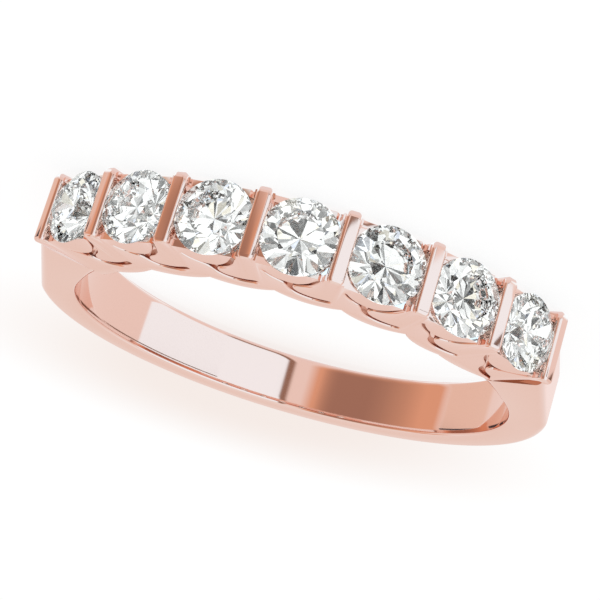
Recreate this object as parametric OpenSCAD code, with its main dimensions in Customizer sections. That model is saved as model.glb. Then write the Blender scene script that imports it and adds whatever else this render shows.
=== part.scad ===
// Seven-stone bar-set wedding band. It lies on its side: the finger hole runs along Z
// and the stones face -Y.

/* [Finger hole] */
// Inside diameter of the ring
finger_d = 17.35; // [17:0.05:17.7]

/* [Shank] */
// Thickness of the metal at the back of the finger
shank_t = 1.5; // [1.3:0.05:1.7]
// Width of the band at the back of the finger
shank_w = 2.2; // [1.9:0.1:2.5]
// Half the span across the shoulders, just behind the end bars
shoulder_x = 9.36; // [9.3:0.02:9.44]

/* [Head] */
// Width of the head at the finger
head_w = 2.8; // [2.78:0.02:2.9]
// Width of the head at the bar tops
head_top_w = 2.58; // [2.5:0.02:2.6]
// Height of the bar tops above the finger hole
bar_h = 2.93; // [2.89:0.02:2.99]
// Thickness of each bar
bar_t = 0.55; // [0.53:0.01:0.58]
// Radius of the rounded top edges of the bars
bar_round = 0.1; // [0.06:0.02:0.14]
// Height of the inner rail above the finger hole
rail_h = 0.9; // [0.8:0.05:1]

/* [Stones] */
// Diameter of each round stone
stone_d = 2.76; // [2.74:0.01:2.78]
// Height of the girdle above the finger hole
girdle_h = 2.64; // [2.6:0.02:2.68]
// How far each bar reaches over the girdle
bar_grip = 0.095; // [0.085:0.005:0.105]
// Gap between a stone and its seat
seat_gap = 0.02; // [0.01:0.01:0.03]
// Table width as a share of the diameter
table_share = 0.57; // [0.53:0.01:0.6]
// Crown height as a share of the diameter
crown_share = 0.145; // [0.13:0.005:0.16]
// Pavilion depth as a share of the diameter
pavilion_share = 0.43; // [0.42:0.005:0.44]

/* [Gallery] */
// Thickness of each pierced side wall
wall_t = 0.4; // [0.36:0.01:0.44]
// Depth of the recess round each strand
recess_d = 0.14; // [0.1:0.01:0.18]
// Radius of the collar arc under each stone
collar_r = 0.97; // [0.9:0.01:1]
// Radius of the strand arcs and of the lobes at the finger edge
strand_r = 1.48; // [1.44:0.01:1.52]
// Diameter of the light hole under each stone
light_d = 1; // [0.8:0.1:1.2]

/* [Hidden] */
NODES = ["band", "stone_1", "stone_2", "stone_3", "stone_4", "stone_5", "stone_6", "stone_7"];
$fn = 96;

stones = len(NODES) - 1;
finger_r = finger_d / 2;
stone_r = stone_d / 2;
bar_top_r = finger_r + bar_h;
girdle_r = finger_r + girdle_h;
rail_r = finger_r + rail_h;
back_r = finger_r + shank_t;

// The bars are as far apart as the stones between them need
grip_r = stone_r - bar_grip;
pitch = 2 * (atan(grip_r / girdle_r) + asin(bar_t / 2 / norm([girdle_r, grip_r])));
function bar_angle(i) = (stones / 2 - i) * pitch;
function stone_angle(i) = ((stones - 1) / 2 - i) * pitch;

// Heights of the cut stone from the middle of its girdle
girdle_half = 0.0125 * stone_d;
crown_top = girdle_half + crown_share * stone_d;
culet = girdle_half + pavilion_share * stone_d;
table_r = table_share * stone_r;

// The part's origin is below the middle of its box
axis_y = (girdle_r + crown_top - back_r) / 2;
axis_z = head_w / 2;

// The head keeps its full width up to here, then narrows to the bar tops
taper_h = 0.6;

// Gallery arcs, each as its shift along the band from the stone and its height above the finger hole
collar_h = 2.78;
collar_top_r = 1.25;
collar_top_h = girdle_h - 0.12 - collar_top_r;
groove_r = 1.24;
groove_h = 2.97;
corner_h = 1.93;
strand_shift = 0.62;
strand_h = 1.93;
eye_r = 1.27;
eye_shift = 0.75;
eye_h = 2.38;
lobe_turn = 0.23 * pitch;
lobe_h = 1.31;
tongue_shift = 0.2;
tongue_h = 1.12;
tongue_top_h = 1.95;
tongue_round = 0.12;
column_half = 0.45;
column_top_half = 0.3;
column_h = 1.55;
plate_x = 7.5;
plate_y = -6.65;
over = 0.5;

// The finger edge of the shank runs straight from this angle to the first cusp under each end bar
relief_angle = 73;
cusp_step = 0.02;
cusp_h = finger_r / cos(relief_angle - bar_angle(0)) - finger_r + cusp_step;
rail_w = head_w - wall_t;

// Turns its children to stand over stone i, with -Y outward
module over_stone(i) rotate(stone_angle(i)) children();
module over_bar(i) rotate(bar_angle(i)) children();
module each_stone() for (i = [0:stones - 1]) over_stone(i) children();
module each_bar() for (i = [0:stones]) over_bar(i) children();

// A disc in a side wall, shifted along the band towards -X
module wall_disc(shift, height, r) translate([-shift, -finger_r - height]) circle(r);

// The part of a disc that lies between the two end bars
module head_wedge(reach, half = bar_angle(0)) {
    polygon([
        [0, 0],
        [2 * reach * sin(half), -2 * reach * cos(half)],
        [0, -3 * reach],
        [-2 * reach * sin(half), -2 * reach * cos(half)]
    ]);
}

module head_plan() intersection() {
    circle(bar_top_r);
    head_wedge(bar_top_r);
}

// Metal kept at the finger edge of a side wall, where the lobes meet in cusps
module cusp_plan() difference() {
    intersection() {
        circle(finger_r + cusp_h);
        head_wedge(finger_r, relief_angle);
    }
    each_stone() rotate(-lobe_turn) wall_disc(0, lobe_h, strand_r);
}

// The lens-shaped collar under a stone
module collar_plan() intersection() {
    wall_disc(0, collar_h, collar_r);
    wall_disc(0, collar_top_h, collar_top_r);
}

// The open corners between bar, collar and stone
module corner_plan() difference() {
    wall_disc(0, groove_h, groove_r);
    circle(finger_r + corner_h);
    collar_plan();
}

module wall_plan() difference() {
    head_plan();
    circle(finger_r);
    cusp_plan();
    each_stone() corner_plan();
}

// The flat tongue that reaches from the next bar's foot into the eye of the strand
module tongue() {
    wide = 1.5;
    translate([-tongue_shift - wide, -finger_r - tongue_top_h])
        square([wide, tongue_top_h - tongue_h - tongue_round]);
    translate([-tongue_shift - tongue_round - wide, -finger_r - tongue_top_h])
        square([wide, tongue_top_h - tongue_h]);
    wall_disc(tongue_shift + tongue_round, tongue_h + tongue_round, tongue_round);
}

module column() polygon([
    [-column_half, -finger_r - cusp_h],
    [column_half, -finger_r - cusp_h],
    [column_half, -finger_r - column_h],
    [column_top_half, -bar_top_r],
    [-column_top_half, -bar_top_r],
    [-column_half, -finger_r - column_h]
]);

// The flat of the shank that runs on under each end bar
module end_plates() for (side = [0, 1]) mirror([side, 0]) translate([plate_x, plate_y])
    square(finger_r);

module kept_in_window(i) {
    over_stone(i) {
        collar_plan();
        tongue();
    }
    over_bar(i) column();
    over_bar(i + 1) column();
    end_plates();
}

// The sunk area over one strand and the groove round the collar
module recess_plan(i) difference() {
    over_stone(i) {
        wall_disc(strand_shift, strand_h, strand_r);
        wall_disc(0, groove_h, groove_r);
    }
    kept_in_window(i);
}

// The hole cut through the wall between collar, strand and tongue
module eye_plan(i) difference() {
    intersection() {
        over_stone(i) wall_disc(eye_shift, eye_h, eye_r);
        over_stone(i) wall_disc(strand_shift, strand_h, strand_r);
    }
    kept_in_window(i);
}

module side_wall() difference() {
    translate([0, 0, head_w / 2 - wall_t]) linear_extrude(wall_t) wall_plan();
    for (i = [0:stones - 1]) {
        translate([0, 0, head_w / 2 - wall_t - over]) linear_extrude(head_w) eye_plan(i);
        translate([0, 0, head_w / 2 - recess_d]) linear_extrude(head_w) recess_plan(i);
    }
}

// One bar: an upright rib across the band with a rounded top
module bar() {
    flat = bar_t / 2 - bar_round;
    foot = -finger_r - rail_h / 2;
    linear_extrude(head_w, center = true) {
        translate([-bar_t / 2, -bar_top_r + bar_round])
            square([bar_t, bar_top_r - bar_round + foot]);
        translate([-flat, -bar_top_r]) square([2 * flat, bar_h / 2]);
        for (side = [-1, 1]) translate([side * flat, -bar_top_r + bar_round]) circle(bar_round);
    }
}

module rail() linear_extrude(rail_w, center = true) difference() {
    intersection() {
        circle(rail_r);
        head_wedge(rail_r);
    }
    circle(finger_r);
}

// Ring outline behind the end bars, with shoulders that rise to the bars' height
module shank_plan() difference() {
    half = bar_angle(0);
    corner_y = -shoulder_x / tan(half);
    union() {
        circle(back_r);
        intersection() {
            polygon([[back_r, 0], [shoulder_x, corner_y], [-shoulder_x, corner_y], [-back_r, 0]]);
            circle(bar_top_r - bar_round);
        }
    }
    circle(finger_r);
    head_wedge(back_r);
}

// Side view of the width: parallel over the head, tapering to the back
module width_taper() {
    head_end = -finger_r * cos(bar_angle(0));
    rotate([90, 0, 90]) linear_extrude(4 * back_r, center = true) polygon([
        [-2 * back_r, -head_w / 2],
        [head_end, -head_w / 2],
        [back_r, -shank_w / 2],
        [back_r, shank_w / 2],
        [head_end, head_w / 2],
        [-2 * back_r, head_w / 2]
    ]);
}

module shank() intersection() {
    linear_extrude(head_w, center = true) shank_plan();
    width_taper();
}

// What is cut off the side faces so that the head narrows towards the bar tops, with chamfered bar ends
module side_taper() rotate_extrude() {
    top_half = head_top_w / 2;
    edge_r = bar_top_r - bar_round;
    slope = (head_w / 2 - top_half) / (edge_r - finger_r - taper_h);
    outside = head_w / 2 + 2 * over;
    polygon([
        [finger_r, head_w / 2 + taper_h * slope],
        [finger_r, outside],
        [bar_top_r + over, outside],
        [bar_top_r + over, top_half - bar_round - over],
        [edge_r, top_half]
    ]);
}

// Cuts the finger edge back from the shank to the first cusp, outside the rail
module finger_relief() for (side = [0, 1], face = [0, 1])
    mirror([side, 0, 0]) mirror([0, 0, face]) rotate(relief_angle)
        translate([-finger_r * tan(relief_angle - bar_angle(0)), -finger_r, rail_w / 2])
            cube([finger_r * tan(relief_angle - bar_angle(0)), over, wall_t]);

// Seat of one stone: the stone's own outline with the fitting gap all round
module seat() rotate_extrude() polygon([
    [0, -culet - over],
    [0.2, -culet - over],
    [0.2, -culet + 0.1],
    [stone_r + seat_gap, -girdle_half - seat_gap],
    [stone_r + seat_gap, girdle_half + seat_gap],
    [table_r + seat_gap, crown_top + seat_gap],
    [table_r + seat_gap, crown_top + over],
    [0, crown_top + over]
]);

module light_hole() translate([0, 0, -girdle_r]) cylinder(d = light_d, h = girdle_h + finger_r / 2);

module stand_at_girdle() translate([0, -girdle_r, 0]) rotate([90, 0, 0]) children();

module band() color("#e2b09a") translate([0, axis_y, axis_z]) difference() {
    union() {
        shank();
        rail();
        side_wall();
        mirror([0, 0, 1]) side_wall();
        each_bar() bar();
    }
    side_taper();
    mirror([0, 0, 1]) side_taper();
    finger_relief();
    each_stone() stand_at_girdle() {
        seat();
        light_hole();
    }
}

// Round brilliant: rings of points, from the table down to the culet
facets = 8;
edge_n = 4 * facets;
turn = 360 / facets;
function spoke(a) = [cos(a), sin(a)];
function ring_of(n, r, z, from) = [for (k = [0:n - 1]) concat(r * spoke(from + k * 360 / n), z)];
// Height on the crown or pavilion cone at which the small facets meet
star_r = (table_r + stone_r) / 2;
star_z = girdle_half + (crown_top - girdle_half) * 0.55;
lower_r = 0.22 * stone_r;
lower_z = -girdle_half - (culet - girdle_half) * 0.8;
brilliant_points = concat(
    ring_of(facets, table_r, crown_top, 0),
    ring_of(facets, star_r, star_z, turn / 2),
    ring_of(edge_n, stone_r, girdle_half, 0),
    ring_of(edge_n, stone_r, -girdle_half, 0),
    ring_of(facets, lower_r, lower_z, turn / 2),
    [[0, 0, -culet]]
);
// First point of each ring
star_0 = facets;
upper_0 = star_0 + facets;
under_0 = upper_0 + edge_n;
lower_0 = under_0 + edge_n;
tip = lower_0 + facets;
function edge(k) = (k + edge_n) % edge_n;
function near(k) = (k + facets) % facets;
brilliant_faces = concat(
    [[for (k = [facets - 1:-1:0]) k]],
    [for (k = [0:facets - 1]) [k, near(k + 1), star_0 + k]],
    [for (k = [0:facets - 1], side = [0, 1])
        side == 0 ? [k, star_0 + k, upper_0 + 4 * k] : [k, upper_0 + 4 * k, star_0 + near(k - 1)]],
    [for (k = [0:facets - 1], j = [0:3]) [star_0 + k, upper_0 + edge(4 * k + j + 1), upper_0 + 4 * k + j]],
    [for (k = [0:edge_n - 1], side = [0, 1])
        side == 0 ? [upper_0 + k, upper_0 + edge(k + 1), under_0 + k]
                  : [upper_0 + edge(k + 1), under_0 + edge(k + 1), under_0 + k]],
    [for (k = [0:facets - 1], j = [0:3]) [under_0 + 4 * k + j, under_0 + edge(4 * k + j + 1), lower_0 + k]],
    [for (k = [0:facets - 1], side = [0, 1])
        side == 0 ? [under_0 + 4 * k, lower_0 + k, tip] : [under_0 + 4 * k, tip, lower_0 + near(k - 1)]]
);

module stone(i) color("#eef2f6") translate([0, axis_y, axis_z]) over_stone(i) stand_at_girdle()
    polyhedron(brilliant_points, brilliant_faces);

band();
for (i = [0:stones - 1]) stone(i);
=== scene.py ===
# Looks of a seven-stone bar-set wedding band. Sizes are in millimetres from the middle of the ring,
# with the finger hole along Z and the stones facing -Y. They are turned to metres as each piece is
# finished.
import math

import bmesh
import bpy
from mathutils import Matrix, Vector


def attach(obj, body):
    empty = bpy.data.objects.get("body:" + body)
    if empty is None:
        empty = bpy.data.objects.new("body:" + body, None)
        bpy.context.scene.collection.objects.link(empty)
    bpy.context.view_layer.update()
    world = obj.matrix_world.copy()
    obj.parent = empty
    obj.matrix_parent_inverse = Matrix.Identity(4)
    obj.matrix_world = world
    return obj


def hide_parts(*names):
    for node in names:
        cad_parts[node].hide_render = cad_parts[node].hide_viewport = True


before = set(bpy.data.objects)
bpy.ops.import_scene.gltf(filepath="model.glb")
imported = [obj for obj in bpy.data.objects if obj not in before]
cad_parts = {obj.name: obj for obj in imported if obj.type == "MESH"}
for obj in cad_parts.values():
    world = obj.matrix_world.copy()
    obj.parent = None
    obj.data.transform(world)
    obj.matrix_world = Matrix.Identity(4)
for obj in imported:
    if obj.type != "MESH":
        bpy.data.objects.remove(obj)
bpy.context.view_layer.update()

MM = 0.001
AXIS = Vector((0, 0.787353, 1.4))  # the middle of the ring, from the part's origin

# Ring. R is a radius, HALF is half of a width along the finger hole.
FINGER_R = 8.675
BACK_R = 10.175
BAR_TOP_R = 11.605
RAIL_R = 9.575
RAIL_HALF = 1.2
HEAD_HALF = 1.4
BACK_HALF = 1.1
SHOULDER_X = 9.36  # the outside of the shank at the end bars
PITCH = 15.72484  # degrees from stone to stone
HALF_HEAD = 3.5 * PITCH
RELIEF_ANGLE = 73  # from here to the end bars the shank's finger edge draws back
OUTER_ROUND = 0.34
INNER_ROUND = 0.1

# Bars and walls
BAR_T = 0.58
BAR_FOOT_R = FINGER_R + 0.45
BAR_NEAR, BAR_FAR = 1.29, -1.385  # the ends of a bar
WALL_T = 0.4
WALL_R = 11.42
TAPER_R = FINGER_R + 0.6  # from here out the side walls lean in
LEAN = 0.075
SHELF_HALF = 1.2

# Stones
STONES = 7
STONE_R = 1.38
GIRDLE_R = FINGER_R + 2.64
GIRDLE_HALF = 0.0345
CROWN_TOP = GIRDLE_HALF + 0.145 * 2 * STONE_R
CULET = GIRDLE_HALF + 0.43 * 2 * STONE_R
TABLE_R = 0.57 * STONE_R
PAVILION_SLOPE = (CULET - GIRDLE_HALF) / STONE_R
MAINS = 12
STAR_TILT = 22
HALF_ABOVE, HALF_BELOW = 7, 1.4  # how many degrees steeper the halves are than the mains
SEAT_GAP = 0.02
SEAT_SLOPE = PAVILION_SLOPE * 0.985
LIGHT_R = 0.5
STONE_TURNS = [4, 19, 0, 7, 12, 2, 23]  # each stone was set turned its own way


# ---------------------------------------------------------------- small helpers

def bar_angle(i):
    return (3.5 - i) * PITCH


def stone_angle(i):
    return (3 - i) * PITCH


def turned(degrees):
    """The turn about the finger hole that carries a shape from the front (-Y) to its place."""
    return Matrix.Rotation(math.radians(degrees), 4, "Z")


def spun(bm, steps):
    """Turns a bmesh of loose edges once about the upright axis and closes it."""
    bmesh.ops.spin(bm, geom=bm.verts[:] + bm.edges[:], cent=(0, 0, 0), axis=(0, 0, 1),
                   angle=2 * math.pi, steps=steps, use_merge=True)
    bmesh.ops.remove_doubles(bm, verts=bm.verts, dist=1e-5)
    bmesh.ops.recalc_face_normals(bm, faces=bm.faces)
    return bm


def lathe(points, steps, y=0.0):
    """A closed solid turned about an upright line at y, from (radius, z) points, axis to axis."""
    bm = bmesh.new()
    verts = [bm.verts.new((r, 0, z)) for r, z in points]
    for a, b in zip(verts, verts[1:]):
        bm.edges.new((a, b))
    spun(bm, steps)
    bmesh.ops.translate(bm, vec=(0, y, 0), verts=bm.verts)
    return bm


def prism(points, low, top):
    """A flat outline stood up between two heights."""
    bm = bmesh.new()
    face = bm.faces.new([bm.verts.new((x, y, low)) for x, y in points])
    grown = bmesh.ops.extrude_face_region(bm, geom=[face])["geom"]
    bmesh.ops.translate(bm, vec=(0, 0, top - low),
                        verts=[v for v in grown if isinstance(v, bmesh.types.BMVert)])
    bmesh.ops.recalc_face_normals(bm, faces=bm.faces)
    return bm


def round_over(bm, geom, size, segments, affect):
    """Rounds corners or edges."""
    bmesh.ops.bevel(bm, geom=geom, offset=size, affect=affect, segments=segments,
                    profile=0.5, material=-1)


def solid(bm, degrees=0.0):
    """Puts a bmesh into a scratch object, turned to its place about the finger hole."""
    bm.transform(turned(degrees))
    mesh = bpy.data.meshes.new("scratch")
    bm.to_mesh(mesh)
    bm.free()
    made = bpy.data.objects.new("scratch", mesh)
    bpy.context.scene.collection.objects.link(made)
    return made


def combine(a, operation, *others):
    """Joins, cuts or intersects scratch solid a with each of the others, which are used up."""
    for b in others:
        step = a.modifiers.new("step", "BOOLEAN")
        step.operation, step.object, step.solver = operation, b, "MANIFOLD"
        bpy.context.view_layer.update()
        graph = bpy.context.evaluated_depsgraph_get()
        done = bpy.data.meshes.new_from_object(a.evaluated_get(graph))
        a.modifiers.clear()
        old = a.data
        a.data = done
        bpy.data.meshes.remove(old)
        gone = b.data
        bpy.data.objects.remove(b)
        bpy.data.meshes.remove(gone)
    return a


def mirrored(a):
    """A copy of a scratch solid on the other side of the ring's middle plane."""
    bm = bmesh.new()
    bm.from_mesh(a.data)
    bmesh.ops.scale(bm, vec=(1, 1, -1), verts=bm.verts)
    bmesh.ops.reverse_faces(bm, faces=bm.faces)
    return solid(bm)


# ---------------------------------------------------------------- ring: shank and rail in one turn

TURN_STEPS = 240
LAST_RAIL, FIRST_SHANK = 54, 55.5  # two stations of the turn, on both sides of the end bar
CHANGE = 0.04  # half of what is left between them, in degrees
CORNER_ZONE = 0.36  # what lies this near to an outer corner belongs to its rounding
NARROWING = 0.6  # a section narrows only this near to its middle, so that its corners stay round


def ring_section():
    """Outline of the widest section, as a loop of edges beside the axis, finger side inward."""
    bm = bmesh.new()
    bmesh.ops.create_grid(bm, x_segments=1, y_segments=1, size=0.5)
    bmesh.ops.scale(bm, vec=(BACK_R - FINGER_R, 2 * HEAD_HALF, 1), verts=bm.verts)
    round_over(bm, [v for v in bm.verts if v.co.x > 0], OUTER_ROUND, 6, "VERTICES")
    inner = [v for v in bm.verts if v.co.x < -0.7 and abs(abs(v.co.y) - HEAD_HALF) < 1e-6]
    round_over(bm, inner, INNER_ROUND, 4, "VERTICES")
    bmesh.ops.delete(bm, geom=bm.faces[:], context="FACES_ONLY")
    across = [e for e in bm.edges if e.calc_length() > 1.6]
    bmesh.ops.subdivide_edges(bm, edges=across, cuts=12)
    bmesh.ops.rotate(bm, cent=(0, 0, 0), matrix=Matrix.Rotation(math.pi / 2, 3, "X"),
                     verts=bm.verts)
    bmesh.ops.translate(bm, vec=((FINGER_R + BACK_R) / 2, 0, 0), verts=bm.verts)
    return bm


def shank_size(theta):
    """The shank at an angle from the head's middle: outer radius, half width, and how far the
    finger edge of its side faces draws back."""
    angle = math.radians(theta)
    start = -FINGER_R * math.cos(math.radians(HALF_HEAD))
    here = -FINGER_R * math.cos(angle)
    taper = max(0.0, (here - start) / (BACK_R - start))
    half = HEAD_HALF - (HEAD_HALF - BACK_HALF) * taper
    outer = BACK_R
    if theta < 90:  # straight shoulders from the widest point to the end bars
        corner_y = SHOULDER_X / math.tan(math.radians(HALF_HEAD))
        slope = (BACK_R - SHOULDER_X) / corner_y
        outer = BACK_R / (math.sin(angle) + slope * math.cos(angle))
    relief = 0.0
    if theta < RELIEF_ANGLE:  # towards the end bars the edge draws back to the first cusp
        relief = max(0.0, FINGER_R / math.cos(math.radians(RELIEF_ANGLE - theta)) - FINGER_R)
    return outer, half, relief


def ring():
    """The shank with the narrower rail that carries it on under the head."""
    bm = spun(ring_section(), TURN_STEPS)
    for v in bm.verts:
        side = 1 if v.co.x >= 0 else -1
        theta = math.degrees(math.atan2(abs(v.co.x), -v.co.y))
        r0, z0 = math.hypot(v.co.x, v.co.y), abs(v.co.z)
        # two stations are brought together at the end bar, where the section changes
        if theta < (LAST_RAIL + FIRST_SHANK) / 2:
            theta *= (HALF_HEAD - CHANGE) / LAST_RAIL
        else:
            theta = (HALF_HEAD + CHANGE
                     + (theta - FIRST_SHANK) * (180 - HALF_HEAD - CHANGE) / (180 - FIRST_SHANK))
        if theta < HALF_HEAD:
            outer, half, relief, roundness = RAIL_R, RAIL_HALF, 0.0, 0.15
        else:
            outer, half, relief = shank_size(theta)
            roundness = 1.0
        z = z0 - (HEAD_HALF - half) * min(1.0, z0 / NARROWING)
        if r0 > BACK_R - CORNER_ZONE:
            r = outer + (r0 - BACK_R) * roundness
            if z0 > HEAD_HALF - CORNER_ZONE:
                z = half + (z0 - HEAD_HALF) * roundness
        else:
            r = r0 + relief * min(1.0, max(0.0, (z0 - RAIL_HALF) / (HEAD_HALF - RAIL_HALF)))
        angle = math.radians(theta)
        v.co = (side * r * math.sin(angle), -r * math.cos(angle), math.copysign(z, v.co.z))
    bmesh.ops.recalc_face_normals(bm, faces=bm.faces)
    return solid(bm)


# ---------------------------------------------------------------- gallery
# The walls are drawn cell by cell. A point (a, r) lies a to the photograph's right of its stone's
# middle line, and r out along that line from the middle of the ring.

FACE = HEAD_HALF + 0.002  # cuts start a hair above the side face, so that no two faces coincide
EASE = 0.08  # rounding of the rims
LINE_FLOOR = 1.22  # the floor of the open lines
WALL_FLOOR = 0.8  # what shapes and marks a wall starts this far from the middle plane
LOBE_REACH = 0.11  # how far a lobe reaches past the finger edge
CLEARANCE_FLOOR = 0.85
CLEARANCE_EASE = 0.02
GALLERY_EDGE_R = 9.3  # only the lobes reach further in

# the finger edge of a wall is a row of round lobes: (turn from the middle in pitches, radius)
LOBES = [(3.35, 3.6), (2.72, 3.6), (1.7, 3.2), (0.72, 2.4), (-0.27, 2.0), (-1.24, 1.85),
         (-2.25, 1.9), (-2.8, 3.4)]

# The edges of the open line that parts a strand from what it passes. It starts under the next bar,
# goes between the strand and the tongue that reaches in from that bar, and runs out as a groove
# between the strand and the stone's collar.
STRAND = [(1.5, 9.33), (1.46, 9.27), (1.33, 9.2), (1.1, 9.15), (0.8, 9.14), (0.5, 9.22),
          (0.22, 9.38), (0.02, 9.6), (-0.1, 9.84), (-0.24, 10.02), (-0.42, 10.13),
          (-0.62, 10.25), (-0.82, 10.42), (-1.0, 10.66)]
COLLAR = [(-0.96, 10.72), (-0.8, 10.54), (-0.6, 10.38), (-0.42, 10.28), (-0.2, 10.22),
          (0.05, 10.2), (0.3, 10.25), (0.5, 10.38), (0.7, 10.58), (0.88, 10.86), (1.02, 11.1)]
TONGUE = [(1.08, 11.04), (0.97, 10.77), (0.8, 10.44), (0.58, 10.22), (0.38, 10.1), (0.2, 10.02),
          (0.11, 9.88), (0.16, 9.72), (0.3, 9.58), (0.5, 9.48), (0.82, 9.41), (1.1, 9.4),
          (1.36, 9.43), (1.46, 9.43)]
# what is cut away above the walls, to clear the girdles and to open the corner left of each bar
CLEARANCE = [(-1.26, 11.8), (-1.2, 11.26), (-1.19, 11.2), (0.98, 11.2), (1.05, 11.08),
             (1.14, 11.06), (1.2, 11.26), (1.26, 11.8)]


def smoothed(points, steps=4):
    """More points along a soft curve through the given ones."""
    out = []
    ends = [points[0]] + points + [points[-1]]
    for four in zip(ends, ends[1:], ends[2:], ends[3:]):
        for k in range(steps):
            t = k / steps
            out.append(tuple(0.5 * (2 * b + (c - a) * t + (2 * a - 5 * b + 4 * c - d) * t * t
                                    + (3 * b - a - 3 * c + d) * t ** 3)
                             for a, b, c, d in zip(*four)))
    return out + [points[-1]]


def moved_out(points, distance):
    """A flat outline with each point moved outward by a distance."""
    n = len(points)
    area = sum(points[i - 1][0] * points[i][1] - points[i][0] * points[i - 1][1]
               for i in range(n))
    out = []
    for i in range(n):
        along = (Vector(points[(i + 1) % n]) - Vector(points[i - 1])).normalized()
        along = along * math.copysign(distance, area)
        out.append((points[i][0] + along.y, points[i][1] - along.x))
    return out


def open_line():
    return smoothed(STRAND) + smoothed(COLLAR) + smoothed(TONGUE)


def pocket(i, points, low, ease):
    """A cutter for a pocket of any outline in cell i, whose upper rim is rounded by ease."""
    points = [(-a, -r) for a, r in points]
    arc = [(FACE - ease + ease * math.sin(t), ease * (1 - math.cos(t)))
           for t in (math.radians(a) for a in (0, 18, 36, 54, 72, 90))]
    bm = bmesh.new()
    rows = [[bm.verts.new((x, y, height)) for x, y in moved_out(points, out)]
            for height, out in [(low, 0)] + arc + [(FACE + 0.3, ease)]]
    for lower, upper in zip(rows, rows[1:]):
        for k in range(len(points)):
            bm.faces.new((lower[k - 1], lower[k], upper[k], upper[k - 1]))
    bm.faces.new(rows[0])
    bm.faces.new(rows[-1])
    bmesh.ops.recalc_face_normals(bm, faces=bm.faces)
    return solid(bm, stone_angle(i))


def lobe(turn, r):
    """A disc that stands for one lobe of a wall's finger edge, with its upper edge rounded."""
    arc = [(r - EASE * (1 - math.cos(t)), FACE - EASE + EASE * math.sin(t))
           for t in (math.radians(a) for a in (0, 30, 60, 90))]
    profile = [(0, WALL_FLOOR), (r, WALL_FLOOR)] + arc + [(0, FACE)]
    return solid(lathe(profile, 96, -FINGER_R - (r - LOBE_REACH)), turn * PITCH)


def end_plate(side):
    """Where the flat of the shank runs on under an end bar, and nothing is cut."""
    outline = [(7.5, -6.65), (12, -6.65), (12, 0), (7.5, 0)]
    return solid(prism([(side * x, y) for x, y in outline], 0.5, FACE + 0.5))


def cell_opening(i):
    """What is cut from the wall in one cell."""
    cut = pocket(i, open_line(), LINE_FLOOR, EASE)
    return combine(cut, "UNION", pocket(i, CLEARANCE, CLEARANCE_FLOOR, CLEARANCE_EASE))


def head_sector(low, top):
    """All that lies between the middles of the two end bars."""
    a = math.radians(HALF_HEAD)
    reach = 2 * BAR_TOP_R
    s, c = reach * math.sin(a), -reach * math.cos(a)
    return solid(prism([(0, 0), (-s, c), (0, -1.5 * reach), (s, c)], low, top))


def drawn_in(height, r):
    """A height on a side face, lowered by how far the face leans in at a radius."""
    return height - LEAN * max(0.0, r - TAPER_R)


def side_wall():
    """The head's side wall on the camera's side, with its gallery."""
    low = HEAD_HALF - WALL_T
    wall = solid(lathe([(0, low), (WALL_R, low), (WALL_R, drawn_in(HEAD_HALF, WALL_R)),
                        (TAPER_R, HEAD_HALF), (0, HEAD_HALF)], 360))
    wall = combine(wall, "INTERSECT", head_sector(low - 0.1, HEAD_HALF + 0.1))
    edge = solid(lathe([(0, low - 0.1), (GALLERY_EDGE_R, low - 0.1), (GALLERY_EDGE_R, 2), (0, 2)],
                       360))
    edge = combine(edge, "DIFFERENCE", *[lobe(turn, r) for turn, r in LOBES])
    wall = combine(wall, "DIFFERENCE", edge)
    for i in range(STONES):
        opening = cell_opening(i)
        if i == 0:
            opening = combine(opening, "DIFFERENCE", end_plate(1))
        if i == STONES - 1:
            opening = combine(opening, "DIFFERENCE", end_plate(-1))
        for v in opening.data.vertices:
            v.co.z = drawn_in(v.co.z, math.hypot(v.co.x, v.co.y))
        wall = combine(wall, "DIFFERENCE", opening)
    return wall


# ---------------------------------------------------------------- bars

def bar(i):
    """An upright rib across the band, its ends and top edges well rounded."""
    bm = bmesh.new()
    bmesh.ops.create_cube(bm, size=1)
    bmesh.ops.scale(bm, vec=(BAR_T, BAR_TOP_R - BAR_FOOT_R, BAR_NEAR - BAR_FAR), verts=bm.verts)
    bmesh.ops.translate(bm, vec=(0, -(BAR_TOP_R + BAR_FOOT_R) / 2, (BAR_NEAR + BAR_FAR) / 2),
                        verts=bm.verts)
    ends = [e for e in bm.edges if abs(e.verts[0].co.x - e.verts[1].co.x) < 1e-6
            and abs(e.verts[0].co.z - e.verts[1].co.z) < 1e-6]
    round_over(bm, ends, 0.17, 5, "EDGES")
    top = [e for e in bm.edges if all(abs(v.co.y + BAR_TOP_R) < 1e-6 for v in e.verts)]
    round_over(bm, top, 0.14, 6, "EDGES")
    for v in bm.verts:  # the far end is rounded nearly twice as long
        if v.co.z < BAR_FAR + 0.18:
            v.co.z = BAR_FAR + (v.co.z - BAR_FAR) * 1.75
    bmesh.ops.recalc_face_normals(bm, faces=bm.faces)
    return solid(bm, bar_angle(i))


def shelf(i, side):
    """Closes the corners beside a bar: just below the girdles on its right, deeper on its left."""
    reach, top = (0.66, 11.19) if side > 0 else (0.62, 11.05)
    outline = [(0, -10.2), (reach, -10.2), (reach, -top), (0, -top)]
    bm = prism([(-side * x, y) for x, y in outline], -SHELF_HALF, SHELF_HALF)
    return solid(bm, bar_angle(i))


# ---------------------------------------------------------------- seats

def at_girdle(i):
    """The place of stone i's girdle, with Z pointing out of the ring."""
    outward = Matrix.Translation((0, -GIRDLE_R, 0)) @ Matrix.Rotation(math.pi / 2, 4, "X")
    return turned(stone_angle(i)) @ outward


def stand_at_girdle(bm, i):
    bm.transform(at_girdle(i))
    return bm


def seat_cone(r):
    """The height of a seat's sloping wall, from the girdle, at a radius from the stone's axis."""
    return -GIRDLE_HALF - SEAT_GAP - (STONE_R + SEAT_GAP - r) * SEAT_SLOPE


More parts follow.
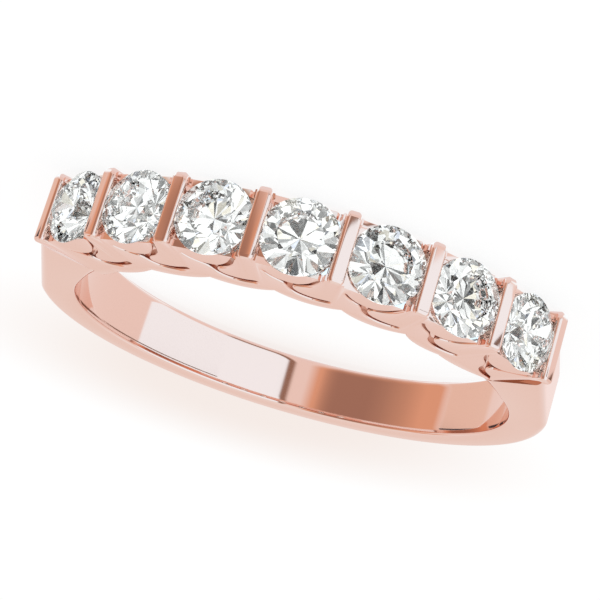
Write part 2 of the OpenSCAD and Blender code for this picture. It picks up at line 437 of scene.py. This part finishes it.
def seat():
    """The stone's outline with the fitting gap all round, open to the finger by the light hole."""
    wide, high = STONE_R + SEAT_GAP, GIRDLE_HALF + SEAT_GAP
    table = TABLE_R + SEAT_GAP
    return [(0, -5.5), (LIGHT_R, -5.5), (LIGHT_R, seat_cone(LIGHT_R)), (wide, -high), (wide, high),
            (table, CROWN_TOP + SEAT_GAP), (table, CROWN_TOP + 0.5), (0, CROWN_TOP + 0.5)]


def band():
    """All the metal in one solid."""
    near = side_wall()
    whole = combine(ring(), "UNION", mirrored(near), near, *[bar(i) for i in range(STONES + 1)])
    whole = combine(whole, "UNION", *[shelf(i, 1) for i in range(STONES)])
    whole = combine(whole, "UNION", *[shelf(i, -1) for i in range(1, STONES + 1)])
    for i in range(STONES):
        whole = combine(whole, "DIFFERENCE", solid(stand_at_girdle(lathe(seat(), 96), i)))
    return whole


# ---------------------------------------------------------------- stones

def facet(bm, azimuth, tilt, point):
    """Grinds one flat through a point, facing azimuth and tilted from the stone's axis."""
    a, t = math.radians(azimuth), math.radians(tilt)
    normal = Vector((math.sin(t) * math.cos(a), math.sin(t) * math.sin(a), math.cos(t)))
    cut = bmesh.ops.bisect_plane(bm, geom=bm.verts[:] + bm.edges[:] + bm.faces[:], dist=1e-6,
                                 plane_co=point, plane_no=normal, clear_outer=True)
    edges = [e for e in cut["geom_cut"] if isinstance(e, bmesh.types.BMEdge)]
    if edges:
        bmesh.ops.edgeloop_fill(bm, edges=edges)


def brilliant():
    """A round stone with twelve mains above and below the girdle, their halves, twelve stars and
    a table."""
    bm = bmesh.new()
    bmesh.ops.create_cone(bm, cap_ends=True, segments=96, radius1=STONE_R, radius2=STONE_R,
                          depth=CROWN_TOP + CULET + 0.2)
    bmesh.ops.translate(bm, vec=(0, 0, (CROWN_TOP - CULET) / 2), verts=bm.verts)
    crown = math.degrees(math.atan((CROWN_TOP - GIRDLE_HALF) / (STONE_R - TABLE_R)))
    pavilion = math.degrees(math.atan(PAVILION_SLOPE))
    step = 360 / MAINS
    facet(bm, 0, 0, (0, 0, CROWN_TOP))
    for k in range(MAINS):
        a = math.radians(step * k)
        x, y = STONE_R * math.cos(a), STONE_R * math.sin(a)
        facet(bm, step * k, crown, (x, y, GIRDLE_HALF))
        facet(bm, step * k, 180 - pavilion, (x, y, -GIRDLE_HALF))
    for k in range(MAINS):
        a = math.radians(step * (k + 0.5))
        r = TABLE_R * math.cos(math.radians(step / 2))
        facet(bm, step * (k + 0.5), STAR_TILT, (r * math.cos(a), r * math.sin(a), CROWN_TOP))
    for k in range(2 * MAINS):
        a = math.radians(step * (k + 0.5) / 2)
        x, y = STONE_R * math.cos(a), STONE_R * math.sin(a)
        facet(bm, step * (k + 0.5) / 2, crown + HALF_ABOVE, (x, y, GIRDLE_HALF))
        facet(bm, step * (k + 0.5) / 2, 180 - pavilion - HALF_BELOW, (x, y, -GIRDLE_HALF))
    bmesh.ops.remove_doubles(bm, verts=bm.verts, dist=1e-4)
    bmesh.ops.recalc_face_normals(bm, faces=bm.faces)
    return bm


# ---------------------------------------------------------------- materials

def colour(text):
    """An sRGB hex colour as the linear values that a shader takes."""
    parts = [int(text[i:i + 2], 16) / 255 for i in (1, 3, 5)]
    return tuple(p / 12.92 if p <= 0.04045 else ((p + 0.055) / 1.055) ** 2.4
                 for p in parts) + (1,)


def add(tree, kind, settings=None, links=None, **props):
    """Adds a node, sets its inputs and properties, and links its inputs to nodes' outputs."""
    node = tree.nodes.new(kind)
    for key, value in props.items():
        setattr(node, key, value)
    for key, value in (settings or {}).items():
        node.inputs[key].default_value = value
    for key, (other, output) in (links or {}).items():
        tree.links.new(other.outputs[output], node.inputs[key])
    return node


def new_material(name):
    made = bpy.data.materials.new(name)
    made.use_nodes = True
    made.node_tree.nodes.clear()
    return made, made.node_tree


def finish_material(tree, shader):
    add(tree, "ShaderNodeOutputMaterial", links={"Surface": (shader, 0)})


# 14 karat rose gold, cast, filed and buffed on a soft wheel. To the eye it is a clear mirror with a
# warm pink cast, in which the faintest wheel marks only soften the reflections from place to place.
def rose_gold():
    made, tree = new_material("polished_rose_gold")
    place = add(tree, "ShaderNodeTexCoord")
    # broad patches of slightly better and worse polish, about 2 mm across
    patches = add(tree, "ShaderNodeTexNoise", {"Scale": 500, "Detail": 3},
                  {"Vector": (place, "Object")})
    rough = add(tree, "ShaderNodeMapRange", {"To Min": 0.035, "To Max": 0.075},
                {"Value": (patches, 0)})
    # wheel marks round the band, drawn 0.1 mm long and 0.02 mm wide because the real ones are too
    # fine to show
    stretch = add(tree, "ShaderNodeMapping", {"Scale": (1, 1, 6)}, {"Vector": (place, "Object")})
    marks = add(tree, "ShaderNodeTexNoise", {"Scale": 9000, "Detail": 2}, {"Vector": (stretch, 0)})
    relief = add(tree, "ShaderNodeBump", {"Strength": 0.02, "Distance": 0.000002},
                 {"Height": (marks, 0)})
    # the seats under the stones are flashed with rhodium, a bright white metal that keeps the
    # stones free of pink
    seated = add(tree, "ShaderNodeAttribute", attribute_name="seat")
    tone = add(tree, "ShaderNodeMix", {"A": colour("#F3D1C4"), "B": colour("#F4F4F3")},
               {"Factor": (seated, "Fac")}, data_type="RGBA")
    # painted shade: low in the grooves the colour is darkened to brown, more where the lines are
    # tight, and the metal there is rougher, where no wheel reaches
    groove = add(tree, "ShaderNodeAttribute", attribute_name="groove")
    groove_shade = add(tree, "ShaderNodeMix", {"B": colour("#A8775F")},
               {"Factor": (groove, "Fac"), "A": (tone, "Result")}, data_type="RGBA")
    dull = add(tree, "ShaderNodeMix", {"B": 0.3},
               {"Factor": (groove, "Fac"), "A": (rough, 0)}, data_type="FLOAT")
    metal = add(tree, "ShaderNodeBsdfPrincipled", {"Metallic": 1.0},
                {"Base Color": (groove_shade, "Result"), "Roughness": (dull, "Result"),
                 "Normal": (relief, 0)})
    finish_material(tree, metal)
    return made


# Cut diamond: colourless, with the high gloss and the strong bending of light that give it black
# and white facets.
def diamond():
    made, tree = new_material("cut_diamond")
    stone = add(tree, "ShaderNodeBsdfPrincipled",
                {"Base Color": colour("#FFFFFF"), "Roughness": 0.0, "IOR": 2.417,
                 "Transmission Weight": 1.0})
    finish_material(tree, stone)
    return made


# ---------------------------------------------------------------- pieces

def into_part(bm, name, material, smooth_angle=None):
    """Brings a finished shape from millimetres to the part's own place in metres."""
    bmesh.ops.translate(bm, vec=AXIS, verts=bm.verts)
    bmesh.ops.scale(bm, vec=(MM, MM, MM), verts=bm.verts)
    mesh = bpy.data.meshes.new(name)
    bm.to_mesh(mesh)
    bm.free()
    mesh.materials.append(material)
    for polygon in mesh.polygons:
        polygon.use_smooth = smooth_angle is not None
    if smooth_angle is not None:
        mesh.set_sharp_from_angle(angle=math.radians(smooth_angle))
    made = bpy.data.objects.new(name, mesh)
    bpy.context.scene.collection.objects.link(made)
    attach(made, "root")
    return made


def within(outline, x, y):
    """Whether a point lies inside a flat outline."""
    inside = False
    for (x1, y1), (x2, y2) in zip(outline, outline[1:] + outline[:1]):
        if (y1 > y) != (y2 > y) and x < x1 + (x2 - x1) * (y - y1) / (y2 - y1):
            inside = not inside
    return inside


def mark_groove_shade(mesh):
    """Marks the faces low in the open lines for the painted shade in the material, more where the
    lines are tight.
    """
    mark = mesh.attributes.new("groove", "FLOAT", "FACE")
    lines = moved_out(open_line(), 0.02)
    for polygon in mesh.polygons:
        middle = polygon.center / MM - AXIS
        r = math.hypot(middle.x, middle.y)
        in_wall = middle.y < 0 and 9 < r < 11.35
        if in_wall and WALL_FLOOR < abs(middle.z) < drawn_in(HEAD_HALF - EASE, r):
            for i in range(STONES):
                x, y, z = turned(-stone_angle(i)) @ middle
                if abs(x) < 1.6 and within(lines, -x, -y):
                    # the painted shade is darker where the lines are tight
                    tight = -y > 9.95 or -x > 1.0
                    mark.data[polygon.index].value = 0.85 if tight else 0.45


def mark_seats(mesh):
    """Marks the seats, the light holes and what else lies hidden under the stones."""
    mark = mesh.attributes.new("seat", "FLOAT", "FACE")
    back = [at_girdle(i).inverted() for i in range(STONES)]
    for polygon in mesh.polygons:
        middle = polygon.center / MM - AXIS
        for way in back:
            x, y, z = way @ middle
            r = math.hypot(x, y)
            top = seat_cone(r) + 0.03
            if r > STONE_R:  # the upright wall round the girdle
                top = max(top, 0.06)
            seated = r < STONE_R + SEAT_GAP + 0.005 and seat_cone(r) - 0.03 < z < top
            under = r < STONE_R + 0.25 and -2.3 < z < -0.25 and abs(y) < 1.15
            if under:
                under = all((way @ (mesh.vertices[v].co / MM - AXIS)).z < 0
                            for v in polygon.vertices)
            if seated or under:
                mark.data[polygon.index].value = 1.0


gold, gem = rose_gold(), diamond()

metal = band()
bm = bmesh.new()
bm.from_mesh(metal.data)
bmesh.ops.remove_doubles(bm, verts=bm.verts, dist=1e-4)
bmesh.ops.dissolve_degenerate(bm, edges=bm.edges, dist=1e-4)
bpy.data.objects.remove(metal)
body = into_part(bm, "polished_band", gold, 32)
mark_seats(body.data)
mark_groove_shade(body.data)
weighted = body.modifiers.new("flat faces stay flat", "WEIGHTED_NORMAL")
weighted.keep_sharp = True
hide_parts("band")

for i, degrees in enumerate(STONE_TURNS):
    bm = brilliant()
    bmesh.ops.rotate(bm, cent=(0, 0, 0), verts=bm.verts,
                     matrix=Matrix.Rotation(math.radians(degrees), 3, "Z"))
    stone = into_part(stand_at_girdle(bm, i), f"brilliant_{i + 1}", gem)
    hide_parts(f"stone_{i + 1}")

# ---------------------------------------------------------------- camera

# where the camera stands round the ring and above the floor, and how the picture is rolled, in
# degrees
AZIMUTH, ELEVATION, ROLL = -4.33177, 15.086596, 196.829454
PAN, TILT = 0.196628, -0.745684  # how far it looks past the middle of the ring, in degrees
DISTANCE = 80.73365
FOCUS = 2080.0337  # focal length in pixels of a frame that is 600 wide
FRAME_PIXELS, SENSOR = 600, 36


def camera():
    """Stands the camera where the photograph was taken from, rolled as the photograph is."""
    azimuth, elevation, roll, pan, tilt = (math.radians(a)
                                           for a in (AZIMUTH, ELEVATION, ROLL, PAN, TILT))
    back = Vector((math.sin(azimuth) * math.cos(elevation),
                   -math.cos(azimuth) * math.cos(elevation), math.sin(elevation)))
    up_axis = Vector((0, 0, 1))
    right = (-back).cross(up_axis).normalized()
    ahead = (-back + math.tan(pan) * right + math.tan(tilt) * right.cross(-back)).normalized()
    right = ahead.cross(up_axis).normalized()
    up = right.cross(ahead)
    side = math.cos(roll) * right + math.sin(roll) * up
    top = -math.sin(roll) * right + math.cos(roll) * up
    lens = bpy.data.cameras.new("camera")
    lens.lens = FOCUS * SENSOR / FRAME_PIXELS
    lens.clip_start, lens.clip_end = 0.001, 10
    made = bpy.data.objects.new("camera", lens)
    bpy.context.scene.collection.objects.link(made)
    place = Matrix((side, top, -ahead)).transposed().to_4x4()
    place.translation = (back * DISTANCE + AXIS) * MM
    made.matrix_world = place
    bpy.context.scene.camera = made


camera()

# ---------------------------------------------------------------- floor and light

# A white sweep, lit so evenly that it shows no edge. A faint warm shade is painted on it near the
# ring, as of light thrown by the metal, and is gone 18 mm from its middle. The places here are in
# metres.
def floor_material():
    made, tree = new_material("pale_floor")
    place = add(tree, "ShaderNodeTexCoord")
    away = add(tree, "ShaderNodeVectorMath", {1: (0.003, 0.0208, 0)}, {0: (place, "Object")},
               operation="DISTANCE")
    near = add(tree, "ShaderNodeMapRange", {"From Min": 0.018, "From Max": 0.004},
               {"Value": (away, "Value")}, interpolation_type="SMOOTHSTEP")
    # painted warm shade on the floor round the ring
    painted_warm_shade = add(tree, "ShaderNodeMix", {"A": (1, 1, 1, 1), "B": (0.886, 0.79, 0.745, 1)},
               {"Factor": (near, 0)}, data_type="RGBA")
    paint = add(tree, "ShaderNodeBsdfDiffuse", {"Color": (0.14, 0.14, 0.14, 1)})
    lit = add(tree, "ShaderNodeEmission", {"Strength": 0.88}, {"Color": (painted_warm_shade, "Result")})
    finish_material(tree, add(tree, "ShaderNodeAddShader", links={0: (paint, 0), 1: (lit, 0)}))
    return made


def floor():
    """The sweep under the ring. Neither the metal nor the stones show it."""
    bm = bmesh.new()
    bmesh.ops.create_grid(bm, x_segments=1, y_segments=1, size=1.5)
    mesh = bpy.data.meshes.new("floor")
    bm.to_mesh(mesh)
    bm.free()
    mesh.materials.append(floor_material())
    made = bpy.data.objects.new("floor", mesh)
    bpy.context.scene.collection.objects.link(made)
    made.visible_glossy = made.visible_transmission = False


floor()

# The studio that the metal mirrors. First the plain room, from below to overhead, as (height in
# degrees, colour).
ROOM = [(-90, "#C1C4C9"), (-50, "#C1C4C9"), (-38, "#C0BBBB"), (-15, "#C1BBBA"), (15, "#BDB2AD"),
        (30, "#C1BEBE"), (46, "#C5CDD2"), (56, "#BBB9B4"), (75, "#C3C9CC")]

# Then what stands in it, each thing over the ones before: (turn, height) of its middle, half its
# size, how round its corners are and how soft its edge is, all in degrees. The turn counts from the
# front, and left and right are the photograph's.
CARDS = [
    ((128, -33), (56, 13), 12, 9, "#D0EEFC"),  # light from the floor behind on the left
    ((-130, -31), (52, 12), 11, 9, "#D0EEFC"),  # the same on the right
    ((112, -14), (22, 10), 6, 5, "#BDADA4"),  # a warmer stretch of wall on the left
    ((50.5, 16), (43, 41), 10, 6, "#B48D76"),  # a warm card to the left of the camera
    ((46, 13), (31, 40), 12, 12, "#9F7D6A"),  # its shaded middle, in three steps
    ((40, 13), (25, 40), 12, 12, "#8E7061"),
    ((34, 18), (20, 41), 12, 10, "#82665A"),
    ((120, 45.5), (32, 7.5), 5, 4, "#B48D76"),  # a warm strip high on the left
    ((-24, 17), (25, 42), 14, 2, "#765F53"),  # the dark frame of the softbox
    ((-48, 20), (45, 42), 12, 1.2, "#C9DFEC"),  # the softbox to the right of the camera
    ((-95, -11.6), (56, 1.2), 1, 0.5, "#645248"),  # a dark rail across it
    ((110, -12), (18, 1.5), 1.4, 0.6, "#33333C"),  # a black rail behind on the left
    ((-168, -14), (9, 5), 4, 4, "#C5B9B6"),  # a pale patch behind on the right
]

# What the stones gather: many small bright and dark panes, a few of them faintly blue or yellow.
# Each list holds (share of the panes where it starts, value).
PANE_TONES = [(0, 0.01), (0.06, 0.06), (0.13, 0.16), (0.21, 0.34), (0.33, 0.6), (0.5, 1)]
PANE_TINTS = [(0, "#F9FCFB"), (0.87, "#DDE6F4"), (0.94, "#F6F3E4")]


def grey(value):
    return (value, value, value, 1)


def ramp(tree, source, stops, smooth):
    """A colour ramp with its stops from (place, colour) pairs, smooth or in steps."""
    made = add(tree, "ShaderNodeValToRGB", links={"Fac": source})
    made.color_ramp.interpolation = "LINEAR" if smooth else "CONSTANT"
    elements = made.color_ramp.elements
    while len(elements) > 1:
        elements.remove(elements[-1])
    elements[0].position, elements[0].color = stops[0]
    for place, shade in stops[1:]:
        elements.new(place).color = shade
    return made


def card(tree, below, spot, middle, half, corner, soft, shade):
    """Lays one card over the colour below it: a rectangle with round corners and a soft edge."""
    away = add(tree, "ShaderNodeVectorMath", {1: (*middle, 0)}, {0: (spot, 0)},
               operation="SUBTRACT")
    size = add(tree, "ShaderNodeVectorMath", links={0: (away, 0)}, operation="ABSOLUTE")
    past = add(tree, "ShaderNodeVectorMath", {1: (half[0] - corner, half[1] - corner, 0)},
               {0: (size, 0)}, operation="SUBTRACT")
    outside = add(tree, "ShaderNodeVectorMath", {1: (0, 0, 0)}, {0: (past, 0)},
                  operation="MAXIMUM")
    reach = add(tree, "ShaderNodeVectorMath", links={0: (outside, 0)}, operation="LENGTH")
    there = add(tree, "ShaderNodeMapRange", {"From Min": corner, "From Max": corner - soft},
                {"Value": (reach, "Value")})
    laid = add(tree, "ShaderNodeMix", {"B": colour(shade)}, {"Factor": (there, 0), "A": below},
               data_type="RGBA")
    return laid, "Result"


def studio():
    """What the metal mirrors, what the stones gather, and plain white for all else."""
    world = bpy.data.worlds.new("studio")
    world.use_nodes = True
    tree = world.node_tree
    tree.nodes.clear()
    ray = add(tree, "ShaderNodeLightPath")
    way = add(tree, "ShaderNodeTexCoord")
    parts = add(tree, "ShaderNodeSeparateXYZ", links={0: (way, "Generated")})
    ahead = add(tree, "ShaderNodeMath", {1: -1.0}, {0: (parts, "Y")}, operation="MULTIPLY")
    turn = add(tree, "ShaderNodeMath", links={0: (parts, "X"), 1: (ahead, 0)},
               operation="ARCTAN2")
    height = add(tree, "ShaderNodeMath", links={0: (parts, "Z")}, operation="ARCSINE")
    both = add(tree, "ShaderNodeCombineXYZ", links={0: (turn, 0), 1: (height, 0)})
    spot = add(tree, "ShaderNodeVectorMath", {"Scale": 180 / math.pi}, {0: (both, 0)},
               operation="SCALE")
    rise = add(tree, "ShaderNodeMapRange", {"From Min": -math.pi / 2, "From Max": math.pi / 2},
               {"Value": (height, 0)})
    plain_room = ramp(tree, (rise, 0), [((h + 90) / 180, colour(c)) for h, c in ROOM], True)
    room = (plain_room, "Color")
    for middle, half, corner, soft, shade in CARDS:
        room = card(tree, room, spot, middle, half, corner, soft, shade)
    for_metal = add(tree, "ShaderNodeBackground", {"Strength": 1.7}, {"Color": room})

    panes = add(tree, "ShaderNodeTexVoronoi", {"Scale": 9.0}, {"Vector": (way, "Generated")})
    pick = add(tree, "ShaderNodeSeparateColor", links={0: (panes, "Color")})
    tone = ramp(tree, (pick, 0), [(share, grey(v)) for share, v in PANE_TONES], False)
    tint = ramp(tree, (pick, 1), [(share, colour(c)) for share, c in PANE_TINTS], False)
    pane = add(tree, "ShaderNodeMix", {"Factor": 1.0}, {"A": (tone, 0), "B": (tint, 0)},
               data_type="RGBA", blend_type="MULTIPLY")
    for_stones = add(tree, "ShaderNodeBackground", {"Strength": 1.35}, {"Color": (pane, "Result")})

    plain = add(tree, "ShaderNodeBackground", {"Color": grey(1), "Strength": 1.0})
    mixed = add(tree, "ShaderNodeMixShader",
                links={0: (ray, "Is Glossy Ray"), 1: (plain, 0), 2: (for_metal, 0)})
    lit = add(tree, "ShaderNodeMixShader",
              links={0: (ray, "Is Singular Ray"), 1: (mixed, 0), 2: (for_stones, 0)})
    add(tree, "ShaderNodeOutputWorld", links={"Surface": (lit, 0)})
    bpy.context.scene.world = world


studio()

scene = bpy.context.scene
scene.view_settings.view_transform = "Standard"
scene.cycles.use_denoising = True
scene.cycles.max_bounces = 24
scene.cycles.glossy_bounces = 20
scene.cycles.transmission_bounces = 20
